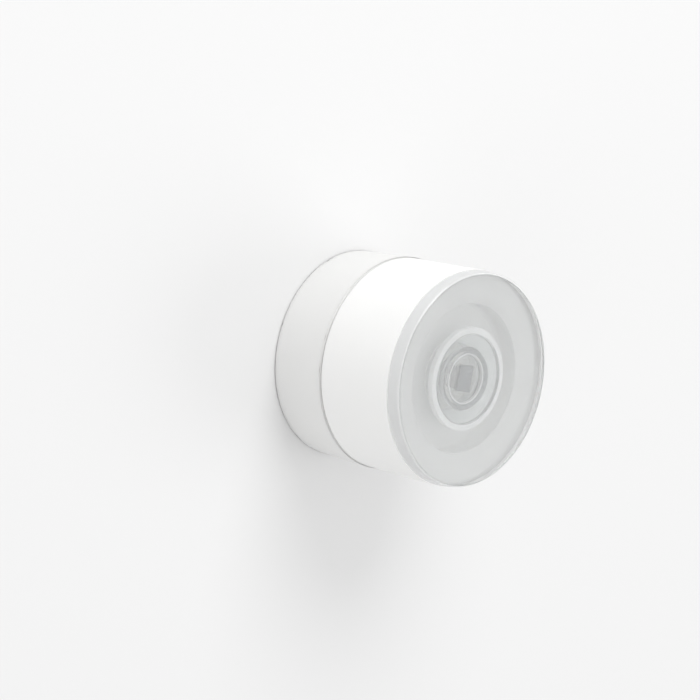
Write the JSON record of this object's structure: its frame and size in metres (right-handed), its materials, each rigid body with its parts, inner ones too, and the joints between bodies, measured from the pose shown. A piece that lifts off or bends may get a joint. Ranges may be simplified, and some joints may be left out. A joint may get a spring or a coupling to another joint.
{
  "type": "suction cup phone holder",
  "caption": "Round phone holder: a magnetic head turns on a housing and draws back the centre of a clear suction cup to make a vacuum.",
  "frame": {"origin": "centre of the magnet face, on which the holder stands", "axes": "+Z along the holder's axis, from the magnet face to the suction cup; +X across the short side of the draw rod's section"},
  "size_m": [0.0596, 0.0596, 0.0475],
  "materials": {
    "white_abs": "satin moulded",
    "clear_tpu": "clear, faint haze",
    "clear_pc": "clear moulded",
    "pad_silicone": "matt",
    "acetal": "natural, machined",
    "plated_steel": "zinc plated",
    "spring_steel": "bright",
    "zinc_alloy": "die cast, satin",
    "magnet_nickel": "nickel plated"
  },
  "bodies": {
    "housing": {"housing_shell": "white_abs", "suction_cup": "clear_tpu", "bearing_plate": "white_abs", "plate_screws": "plated_steel", "slip_washer": "acetal", "thrust_washer": "spring_steel", "guide_plate": "acetal", "guide_screws": "plated_steel"},
    "head": {"head_shell": "white_abs", "face_pad": "pad_silicone", "shield_ring": "plated_steel", "cam_sleeve": "acetal", "cam_screws": "plated_steel", "retaining_ring": "spring_steel", "magnet_1": "magnet_nickel", "magnet_2": "magnet_nickel", "magnet_3": "magnet_nickel", "magnet_4": "magnet_nickel", "magnet_5": "magnet_nickel", "magnet_6": "magnet_nickel", "magnet_7": "magnet_nickel", "magnet_8": "magnet_nickel", "magnet_9": "magnet_nickel", "magnet_10": "magnet_nickel", "magnet_11": "magnet_nickel", "magnet_12": "magnet_nickel", "magnet_13": "magnet_nickel", "magnet_14": "magnet_nickel", "magnet_15": "magnet_nickel", "magnet_16": "magnet_nickel"},
    "plunger": {"cup_hub": "clear_pc", "draw_rod": "zinc_alloy", "cross_pin": "spring_steel"}
  },
  "joints": [
    {"name": "head_turn", "type": "hinge", "parent": "housing", "child": "head", "pos_m": [0, 0, 0], "axis": [0, 0, 1], "range_deg": [0, 90]},
    {"name": "cup_draw", "type": "slide", "parent": "housing", "child": "plunger", "axis": [0, 0, -1], "range_m": [0, 0.004], "deforming": ["suction_cup"]}
  ],
  "couplings": [
    {"joint": "cup_draw", "follows": "head_turn", "m_per_rad": 0.0025465}
  ]
}
